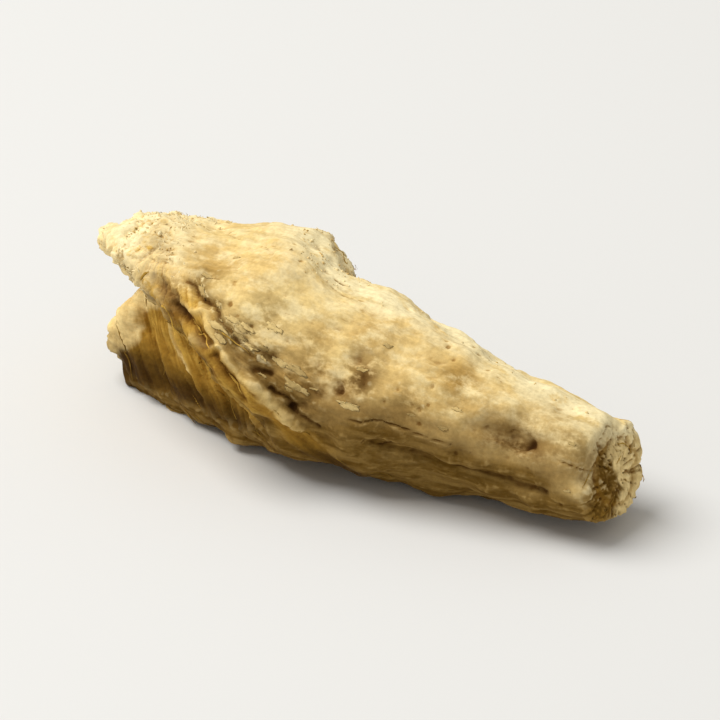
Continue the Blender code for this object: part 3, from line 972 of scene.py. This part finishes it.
class RootFinish(Finish):
    """Pale skin with dust and ochre stains, and torn, fibrous ochre flesh, with brown painted shade in the
    creases, hollows and lower parts, and painted highlights on the top edge and ribs.
    """

    def __init__(self, colours):
        super().__init__("dried_root_skin")
        self.colours = colours
        self.skin, self.torn, self.lip = self.mark("skin"), self.mark("torn"), self.mark("lip")
        self.under, self.low = self.mark("under"), self.mark("low")
        self.left_rim, self.smudge = self.mark("left_rim"), self.mark("smudge")
        self.fine, self.broad = self.mark("fine_relief"), self.mark("broad_relief")
        self.fan = self.mark("fan", "Vector")
        self.mottle = self.noise(MOTTLE, 4.0, 0.65, 3.0)
        self.streak = self.noise(STREAKS, shift=7.0)
        self.speck = self.noise(SPECKS, 2.0, shift=11.0)
        bands = self.noise(BANDS, 3.0, 0.55, 4.0, self.fan)
        self.fibres = bands * 0.6 + self.noise(THREADS, shift=2.0, where=self.fan) * 0.4

        colour = self.grained(self.shaded_and_smudged(self.clean()))
        roughness = 0.86 - self.torn * 0.14 + self.speck * 0.1 - self.under * 0.08
        hairs = self.noise(HAIRS, shift=5.0)
        cells = self.noise(CELLS, 4.0, 0.7, 2.0)
        self.lay(colour, roughness.limited(), 0.06, (0.5, 0.03, hairs * 0.6 + cells * 0.5))

    def upper_skin(self):
        """Cream skin with duller clouds, ochre stains, a white top edge of dust and painted highlight, and worn
        grey patches.
        """
        colours = self.colours
        clouds = self.noise(CLOUDS, 4.0)
        stained = self.mark("stain") * self.mottle.step(0.70, 0.40) * 1.3
        worn = self.mark("worn") * self.mottle.step(0.58, 0.42) * 1.3
        return self.coated(
            colours.cream,
            (clouds.step(0.38, 0.70) * 0.75, colours.tan),
            (self.mottle.step(0.42, 0.70) * 0.55, colours.pale),
            (stained.limited() * 0.75, colours.ochre),
            # White top edge: dust and painted highlight
            (self.mark("dust_and_highlight") * self.mottle.step(0.30, 0.52) * 0.95, colours.pale),
            (worn.limited() * 0.70, colours.dun),
        )

    def lower_skin(self):
        """Painted shade of the lower side: brown and dun streaks, lighter on their crests."""
        colours = self.colours
        return self.coated(
            colours.brown,
            (self.streak.step(0.34, 0.66), colours.dun),
            (self.fine.step(0.55, 0.9) * 0.35, colours.tan),
        )

    def frayed_skin(self):
        """Skin torn into fibres above the crest, with brown gaps and flecks."""
        colours = self.colours
        flecks = self.noise(FLECKS, shift=9.0, where=self.fan)
        return self.coated(
            colours.dun,
            (self.fibres.step(0.46, 0.64), colours.tan),
            (self.fibres.step(0.48, 0.38), colours.brown),
            (self.fine.step(0.58, 0.90) * 0.5, colours.cream),
            (flecks.step(0.56, 0.64) * 0.8, colours.brown),
        )

    def whole_skin(self):
        """All of the skin, with painted shade that darkens it where it turns down."""
        lower = self.lower_skin()
        turned = self.under + (self.mottle - 0.5) * 0.5 + (self.streak - 0.5) * 0.6
        return self.coated(
            self.upper_skin(),
            (turned.step(0.08, 0.55) * 0.9, self.colours.fawn),
            (turned.step(0.40, 0.95), lower),
            (self.mark("frayed") * 0.95, self.mix(self.under, self.frayed_skin(), lower)),
        )

    def flesh(self):
        """Torn golden fibres, browner towards the bottom as painted shade."""
        colours, low = self.colours, self.low
        light = self.coated(
            colours.gold, (low.step(0.55, 1.0), colours.ochre), (low.step(0.85, 1.0), colours.brown)
        )
        dark = self.coated(
            colours.ochre, (low.step(0.70, 1.0), colours.brown), (low.step(0.88, 1.0), colours.umber)
        )
        return self.coated(
            dark,
            (self.fibres.step(0.42, 0.58) * (1.0 - low.step(0.6, 1.0) * 0.6), light),
            (self.fine.step(0.52, 0.85) * (1.0 - low) * 0.6, colours.gold),
        )

    def split_back(self):
        """Ochre and tan fibres, pale on their crests, with brown painted shade underneath."""
        colours = self.colours
        return self.coated(
            colours.ochre,
            (self.streak.step(0.36, 0.64), colours.tan),
            (self.fine.step(0.52, 0.85) * 0.7, colours.cream),
            (self.under * 0.75, colours.brown),
        )

    def cut_end(self):
        """A pale cut with a browner front, an ochre ring and brown clefts."""
        colours = self.colours
        front = self.mark("end_front") + (self.mottle - 0.5) * 1.2
        return self.coated(
            colours.blush,
            (front.step(0.25, 0.75), colours.brown),
            (self.mark("end_ring") * 0.65, colours.ochre),
            (self.mark("end_clefts") * 0.5, colours.brown),
            (self.fine.step(0.50, 0.80) * 0.6, self.mix(front, colours.blush, colours.ochre)),
        )

    def clean(self):
        """All zones' colours, with the pale rim, edges and shoulder, and a painted highlight on the ribs."""
        colours, mottle = self.colours, self.mottle
        rim_share = self.left_rim + (self.fibres - 0.5) * 1.1 + (mottle - 0.5) * 0.6
        rim_share = rim_share.step(0.20, 0.85) * self.left_rim.step(0.02, 0.25)
        rim_colour = self.mix(mottle.step(0.60, 0.40) * 0.3, colours.blush, colours.tan)
        # The pale edges are kept off the lower parts, where painted shade lies
        upper = (1.0 - self.under) * (1.0 - self.low)
        edge = self.mark("rim") * upper.step(0.1, 0.5) * 0.8 + self.lip * (1.0 - self.under * 0.4) * 0.7
        return self.coated(
            self.split_back(),
            (self.skin, self.whole_skin()),
            (self.torn * 0.97, self.flesh()),
            (self.mark("cut_end") * 0.85, self.cut_end()),
            # The pale rim fades towards the bottom as painted shade
            (rim_share * (1.0 - self.low.step(0.6, 1.0) * 0.5), rim_colour),
            (edge.limited() * mottle.step(0.34, 0.50), colours.pale),
            (self.mark("shoulder") * mottle.step(0.34, 0.54) * 0.9, colours.pale),
            # Painted highlight on the torn front's raised ribs
            (self.mark("ribs") * 0.7, colours.cream),
        )

    def shaded_and_smudged(self, colour):
        """A colour with painted shade in the hollows, slits and cracks and along the front edge, dark smudges
        round the pits, and pale dust and painted highlight on the upper skin's crests.
        """
        torn, under, lip, mottle = self.torn, self.under, self.lip, self.mottle
        depth_share = 0.65 - torn * 0.40 - lip * 0.2 - self.left_rim * 0.5 - under * 0.3
        colour = self.coated(
            colour,
            # Painted shade in the fine and the broad hollows
            (self.fine.step(0.45, 0.05) * (0.8 - lip * 0.15 - torn * 0.35), CREASE_SHADE),
            (self.broad.step(0.42, 0.0) * depth_share, SHADE_AND_SMUDGE),
            (self.smudge * mottle.step(0.72, 0.44) * 0.9, SHADE_AND_SMUDGE),
            # Painted shade inside the slits
            (self.mark("slits") * 0.9, SHADE_AND_SMUDGE),
            # Painted shade on the skin along the front edge where it turns down
            (self.mark("shaded_front") * mottle.step(0.85, 0.35) * (1.0 - torn) * 0.65, FRONT_EDGE_SHADE),
            # Painted shade in the drying cracks
            (self.mark("cracks") * self.skin * 0.35, CREASE_SHADE),
            blend="MULTIPLY",
        )
        # Pale on the crests of the upper skin: dust and painted highlight
        crests = self.fine.step(0.62, 0.95) * 0.5 * (1.0 - under) * (1.0 - torn) * (1.0 - self.smudge)
        return self.mix(crests, colour, self.colours.pale)

    def grained(self, colour):
        """A colour with slightly darker and lighter streaks and specks."""
        streaks = self.mix(self.streak.step(0.3, 0.7), (0.88, 0.86, 0.82), (1.08, 1.08, 1.08))
        specks = self.mix(self.speck.step(0.3, 0.7), (0.90, 0.89, 0.86), (1.07, 1.07, 1.06))
        return self.coated(colour, (1.0, streaks), (1.0, specks), blend="MULTIPLY")


def scrap_finish(name, dark, light):
    """The finish of loose scraps, between two colours by each scrap's tone."""
    finish = Finish(name)
    mottle = finish.noise(SCRAP_MOTTLE)
    cells = finish.noise(CELLS, 4.0, 0.7, 2.0)
    colour = finish.mix(finish.mark("tone") + (mottle - 0.5) * 0.7, dark, light)
    grain = finish.mix(cells.step(0.3, 0.7), (0.88, 0.87, 0.85), (1.07, 1.07, 1.06))
    colour = finish.mix(1.0, colour, grain, blend="MULTIPLY")
    finish.lay(colour, (0.8 + cells * 0.15).limited(), 0.08, (0.4, 0.02, cells))
    return finish.material


def plain_finish(name, colour, roughness):
    finish = Finish(name)
    finish.plug(finish.shader.inputs["Base Color"], colour)
    finish.plug(finish.shader.inputs["Roughness"], roughness)
    return finish.material


def link_piece(name, mesh, material):
    piece = bpy.data.objects.new(name, mesh)
    bpy.context.scene.collection.objects.link(piece)
    mesh.materials.clear()
    mesh.materials.append(material)
    return piece


def height_setting(name, default, description):
    return bpy.props.FloatProperty(name=name, description=description, default=default, min=0.0, max=1.0)


def count_setting(name, default, description):
    return bpy.props.IntProperty(name=name, description=description, default=default, min=0, max=2000)


def colour_setting(name, default, description):
    return bpy.props.FloatVectorProperty(
        name=name, description=description, default=default, size=3, min=0.0, max=1.0, subtype="COLOR"
    )


def angle_setting(name, degrees, description):
    return bpy.props.FloatProperty(
        name=name, description=description, default=math.radians(degrees), subtype="ANGLE"
    )


def length_setting(name, default, least, description):
    return bpy.props.FloatProperty(
        name=name, description=description, default=default, min=least, unit="LENGTH"
    )


def light_setting(name, default, description):
    return bpy.props.FloatProperty(name=name, description=description, default=default, min=0.0)


class RootSurface(bpy.types.PropertyGroup):
    """Sizes of the root's fine relief, in millimetres."""

    voxel: bpy.props.FloatProperty(
        name="Mesh size", description="Edge length of the fine mesh in mm", default=0.084, min=0.06, max=0.5
    )
    fold_height: height_setting("Folds", 0.070, "Height of the skin's wrinkles and lumps in mm")
    layer_height: height_setting("Layers", 0.035, "Height of the skin's peeling layers in mm")
    pore_depth: height_setting("Pores", 0.07, "Depth of the skin's pores in mm")
    fibre_height: height_setting("Fibres", 0.11, "Height of the torn fibres' ridges in mm")
    crumb_height: height_setting("Crumbs", 0.20, "Height of the crumbs along broken edges in mm")
    crack_depth: height_setting("Cracks", 0.08, "Depth of the drying cracks in mm")


class RootScraps(bpy.types.PropertyGroup):
    """How many loose scraps cling to the root."""

    crumbs: count_setting("Crumbs", 900, "Crumbs along the lip and the broken edges")
    lumps: count_setting("Lumps", 14, "Larger lumps on the lip")
    flakes: count_setting("Flakes", 36, "Flakes that peel off the skin")
    fibres: count_setting("Fibres", 80, "Loose fibres on the torn front")
    splinters: count_setting("Splinters", 110, "Fibres that stand out of the broken ends and the split")
    tufts: count_setting("Tufts", 260, "Short stubs that fray the lip")


class RootColours(bpy.types.PropertyGroup):
    """Colours of the root's skin and flesh."""

    # Pale also serves as painted highlight on the upper crests and the top edge
    pale: colour_setting("Pale", (0.92, 0.81, 0.51), "Dusty raised edges")
    cream: colour_setting("Cream", (0.82, 0.63, 0.285), "The upper skin")
    blush: colour_setting("Blush", (0.97, 0.76, 0.37), "The rim left of the torn front, and the cut end")
    tan: colour_setting("Tan", (0.66, 0.45, 0.165), "Duller places in the skin")
    # Fawn, dun and brown also serve as painted shade where the skin turns down and on its lower side
    fawn: colour_setting("Fawn", (0.48, 0.33, 0.125), "The skin where it turns down")
    gold: colour_setting("Gold", (0.68, 0.42, 0.08), "Freshly torn flesh")
    ochre: colour_setting("Ochre", (0.36, 0.19, 0.024), "Stains and dry flesh")
    dun: colour_setting("Dun", (0.24, 0.145, 0.038), "Worn skin on the lower side")
    brown: colour_setting("Brown", (0.14, 0.072, 0.008), "Creases, the underside and the cut end's front")
    # Umber is painted shade at the bottom of the torn front
    umber: colour_setting("Umber", (0.045, 0.019, 0.002), "The deepest flesh")


class RootStage(bpy.types.PropertyGroup):
    """The camera's place and the studio's light."""

    azimuth: angle_setting("Azimuth", 30, "Turn of the view round the piece")
    elevation: angle_setting("Elevation", 30, "Height of the view")
    distance: length_setting("Distance", 0.45, 0.05, "Camera to piece")
    view_width: length_setting("View width", 0.0260, 0.005, "Width of the picture at the piece")
    floor: colour_setting("Floor", (0.73, 0.74, 0.75), "The floor's colour")
    sky: light_setting("Sky", 0.44, "Strength of the even light")
    sky_colour: colour_setting("Sky colour", (1.0, 0.965, 0.90), "Colour of the even light")
    key: light_setting("Key light", 1.02, "Power of the soft light above, in watts")
    key_colour: colour_setting("Key colour", (1.0, 0.975, 0.925), "Colour of the soft light above")


class RootSettings(bpy.types.PropertyGroup):
    """All of the root's settings."""

    surface: bpy.props.PointerProperty(type=RootSurface)
    scraps: bpy.props.PointerProperty(type=RootScraps)
    colours: bpy.props.PointerProperty(type=RootColours)
    stage: bpy.props.PointerProperty(type=RootStage)


class OBJECT_OT_root_body(bpy.types.Operator):
    """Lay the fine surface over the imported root"""

    bl_idname = "object.root_body"
    bl_label = "Root body"

    def execute(self, context):
        chosen = root_settings(context)
        mesh = even_copy_of_node(NODE, chosen.surface.voxel)
        mesh.name = "root_body"
        surface = Surface(mesh)
        surface.places = surface.smoothed(surface.places, FACET_SMOOTHING)
        raise_detail(surface, chosen.surface)
        mark_relief(surface)
        surface.places = to_model(surface.places)
        surface.write()
        mesh.shade_smooth()
        body = link_piece("root_body", mesh, RootFinish(chosen.colours).material)
        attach(body, BODY)
        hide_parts(NODE)
        context.view_layer.update()
        return {"FINISHED"}


def laying(context, seed):
    """What an operator needs to lay scraps: all settings, seeded dice and the finished body."""
    return root_settings(context), np.random.RandomState(seed), Ground(context.scene.objects["root_body"])


class OBJECT_OT_root_crumbs(bpy.types.Operator):
    """Strew crumbs, lumps and short tufts along the lip and the broken edges"""

    bl_idname = "object.root_crumbs"
    bl_label = "Crumbs"

    def execute(self, context):
        chosen, dice, ground = laying(context, CRUMB_SEED)
        bead, ball, stub = ball_template(1), ball_template(2), tube_template(6, STUB_RINGS)
        crumbs = Scraps()
        lip, shoulder, dust_and_highlight = ground.mark("lip"), ground.mark("shoulder"), ground.mark("dust_and_highlight")
        edges = (ground.mark("rim") * (1.0 - ground.mark("under")) * (1.0 - ground.mark("low"))) ** 2
        whole = (1.0 - ground.mark("torn")) * (1.0 - ground.mark("smudge")) ** 2
        crumbly = np.maximum((edges + 1.2 * lip + shoulder + 0.12 * dust_and_highlight**2) * whole - 0.03, 0.0)
        for place, normal in ground.draw(crumbly, chosen.scraps.crumbs, dice):
            radius = CRUMB_RADIUS + CRUMB_GROWTH * dice.uniform() ** 2
            crumbs.add(bead, grain_corners(place, normal, radius, dice), dice.uniform())
        for place, normal in ground.draw(lip**2 + 0.0001, chosen.scraps.lumps, dice):
            radius = dice.uniform(*LUMP_RADII)
            crumbs.add(ball, grain_corners(place, normal, radius, dice), dice.uniform(0.3, 1.0))
        behind_tip = step(ground.places[:, 0], THICK_END + 0.3, THICK_END + 1.2)
        frayed = (lip**2 + 0.4 * edges**2 + 0.1 * shoulder**2) * whole * behind_tip
        for place, _ in ground.draw(frayed, chosen.scraps.tufts, dice):
            towards = Vector(dice.uniform(*TUFT_WAYS))
            length, radius = dice.uniform(*TUFT_LENGTHS), dice.uniform(*TUFT_RADII)
            lift = dice.uniform(*TUFT_LIFTS)
            corners = fibre_corners(ground, place, straight(towards), length, radius, lift, STUB_RINGS, dice)
            crumbs.add(stub, corners, dice.uniform(0.6, 1.0))
        crumbs.piece("edge_crumbs", scrap_finish("dry_crumb", chosen.colours.tan, chosen.colours.pale))
        return {"FINISHED"}


class OBJECT_OT_root_flakes(bpy.types.Operator):
    """Lay thin flakes that peel off the skin"""

    bl_idname = "object.root_flakes"
    bl_label = "Flakes"

    def execute(self, context):
        chosen, dice, ground = laying(context, FLAKE_SEED)
        ball = ball_template(3)
        flakes = Scraps()
        peeling = ground.mark("skin") * (0.02 + 0.1 * ground.mark("worn") + ground.mark("frayed"))
        light = 1.0 - ground.mark("under")
        for place, normal in ground.draw(peeling * (0.2 + light), chosen.scraps.flakes, dice):
            half_long = dice.uniform(*FLAKE_HALF_LENGTHS)
            half_wide = half_long * dice.uniform(*FLAKE_WIDTH_SHARES)
            lift = dice.uniform(*FLAKE_LIFTS)
            by_the_fan = place.x < FAN_FLAKE_X and place.y < FAN_FLAKE_Y
            heading = fan_heading(place) if by_the_fan else Vector((1.0, 0.0, 0.0))
            corners = flake_corners(ground, place, normal, heading, half_long, half_wide, lift, dice)
            # A flake facing down gets a darker tone as painted shade
            flakes.add(ball, corners, (1.0 - down_share(normal)) * dice.uniform(0.35, 0.85))
        flakes.piece("skin_flakes", scrap_finish("peeling_skin", chosen.colours.dun, chosen.colours.cream))
        return {"FINISHED"}


class OBJECT_OT_root_fibres(bpy.types.Operator):
    """Lay loose fibres down the torn front and stand splinters out of the broken ends and the split"""

    bl_idname = "object.root_fibres"
    bl_label = "Fibres"

    def execute(self, context):
        chosen, dice, ground = laying(context, FIBRE_SEED)
        tube = tube_template(7, FIBRE_RINGS)
        fibres = Scraps()
        torn = ground.mark("torn")
        for place, _ in ground.draw(torn**2, chosen.scraps.fibres, dice):
            length, radius = dice.uniform(*FIBRE_LENGTHS), dice.uniform(*FIBRE_RADII)
            lift = FIBRE_LIFT * dice.uniform() ** 3
            corners = fibre_corners(ground, place, fan_heading, length, radius, lift, FIBRE_RINGS, dice)
            # A fibre lower down gets a darker tone as painted shade
            height_share = float(step(place.z, *LOW_TO_HIGH))
            fibres.add(tube, corners, dice.uniform(0.0, 0.2) + dice.uniform(0.2, 0.7) * height_share)
        broken = (1.0 - ground.mark("skin")) * (1.0 - torn)
        broken *= (0.2 + ground.mark("rim")) * (1.0 - ground.mark("lip"))
        for place, normal in ground.draw(broken, chosen.scraps.splinters, dice):
            lengthwise = dice.choice((-1.0, 1.0)) * (1.0 - abs(normal.x))
            towards = Vector((lengthwise, dice.uniform(-0.3, 0.3), dice.uniform(-0.3, 0.3)))
            length, radius = dice.uniform(*SPLINTER_LENGTHS), dice.uniform(*SPLINTER_RADII)
            lift = SPLINTER_LIFT * dice.uniform() ** 2
            corners = fibre_corners(ground, place, straight(towards), length, radius, lift, FIBRE_RINGS, dice)
            # A splinter facing down gets a darker tone as painted shade
            fibres.add(tube, corners, dice.uniform(0.35, 1.0) * (1.0 - 0.7 * down_share(normal)))
        fibres.piece("torn_fibres", scrap_finish("dry_fibre", chosen.colours.brown, chosen.colours.gold))
        return {"FINISHED"}


class OBJECT_OT_root_stage(bpy.types.Operator):
    """Set the pale floor, the soft lights and the camera"""

    bl_idname = "object.root_stage"
    bl_label = "Stage"

    def execute(self, context):
        chosen = root_settings(context).stage
        self.lay_floor(chosen)
        self.light(context.scene, chosen)
        self.set_camera(context.scene, chosen)
        context.scene.view_settings.view_transform = "Standard"
        return {"FINISHED"}

    def aimed(self, scene, data, back, distance=1.0):
        """A lamp or camera that stands back times distance from the piece's middle and looks at it."""
        low, high = CAD_BOX
        made = bpy.data.objects.new(data.name, data)
        made.location = (low + high) / 2 + back * distance
        made.rotation_mode = "QUATERNION"
        made.rotation_quaternion = (-back).to_track_quat("-Z", "Y")
        scene.collection.objects.link(made)
        return made

    def lay_floor(self, chosen):
        shape = bmesh.new()
        bmesh.ops.create_grid(shape, x_segments=1, y_segments=1, size=FLOOR_HALF_WIDE)
        mesh = bpy.data.meshes.new("floor")
        shape.to_mesh(mesh)
        shape.free()
        floor = link_piece("floor", mesh, plain_finish("pale_floor", chosen.floor, 0.9))

    def light(self, scene, chosen):
        """Even light from all round and a wide, soft lamp above the front left."""
        world = bpy.data.worlds.new("studio")
        world.use_nodes = True
        sky = world.node_tree.nodes["Background"]
        sky.inputs["Color"].default_value = (*chosen.sky_colour, 1.0)
        sky.inputs["Strength"].default_value = chosen.sky
        scene.world = world
        key = bpy.data.lights.new("key", "AREA")
        key.shape = "DISK"
        key.size = LAMP_WIDE
        key.energy = chosen.key
        key.color = chosen.key_colour
        self.aimed(scene, key, LAMP_OFFSET)

    def set_camera(self, scene, chosen):
        lens = bpy.data.cameras.new("camera")
        lens.angle = 2.0 * math.atan(chosen.view_width / 2.0 / chosen.distance)
        lens.clip_start = 0.01
        level = math.cos(chosen.elevation)
        back = Vector((
            math.sin(chosen.azimuth) * level, -math.cos(chosen.azimuth) * level, math.sin(chosen.elevation)
        ))
        scene.camera = self.aimed(scene, lens, back, chosen.distance)


class VIEW3D_PT_root_piece(bpy.types.Panel):
    """Lists the root's settings and operators"""

    bl_label = "Root piece"
    bl_idname = "VIEW3D_PT_root_piece"
    bl_space_type = "VIEW_3D"
    bl_region_type = "UI"
    bl_category = "Root piece"

    def draw(self, context):
        layout = self.layout
        chosen = root_settings(context)
        for group in (chosen.surface, chosen.scraps, chosen.colours, chosen.stage):
            box = layout.box()
            for name in group.bl_rna.properties.keys():
                if name not in ("rna_type", "name"):
                    box.prop(group, name)
        for operator in OPERATORS:
            layout.operator(operator.bl_idname)


OPERATORS = (
    OBJECT_OT_root_body,
    OBJECT_OT_root_crumbs,
    OBJECT_OT_root_flakes,
    OBJECT_OT_root_fibres,
    OBJECT_OT_root_stage,
)
GROUPS = (RootSurface, RootScraps, RootColours, RootStage, RootSettings)
CLASSES = (*GROUPS, *OPERATORS, VIEW3D_PT_root_piece)


def register():
    for kind in CLASSES:
        bpy.utils.register_class(kind)
    bpy.types.Scene.root_piece = bpy.props.PointerProperty(type=RootSettings)


def unregister():
    del bpy.types.Scene.root_piece
    for kind in reversed(CLASSES):
        bpy.utils.unregister_class(kind)


def main():
    register()
    bpy.ops.object.root_body()
    bpy.ops.object.root_crumbs()
    bpy.ops.object.root_flakes()
    bpy.ops.object.root_fibres()
    bpy.ops.object.root_stage()


if __name__ == "__main__":
    main()
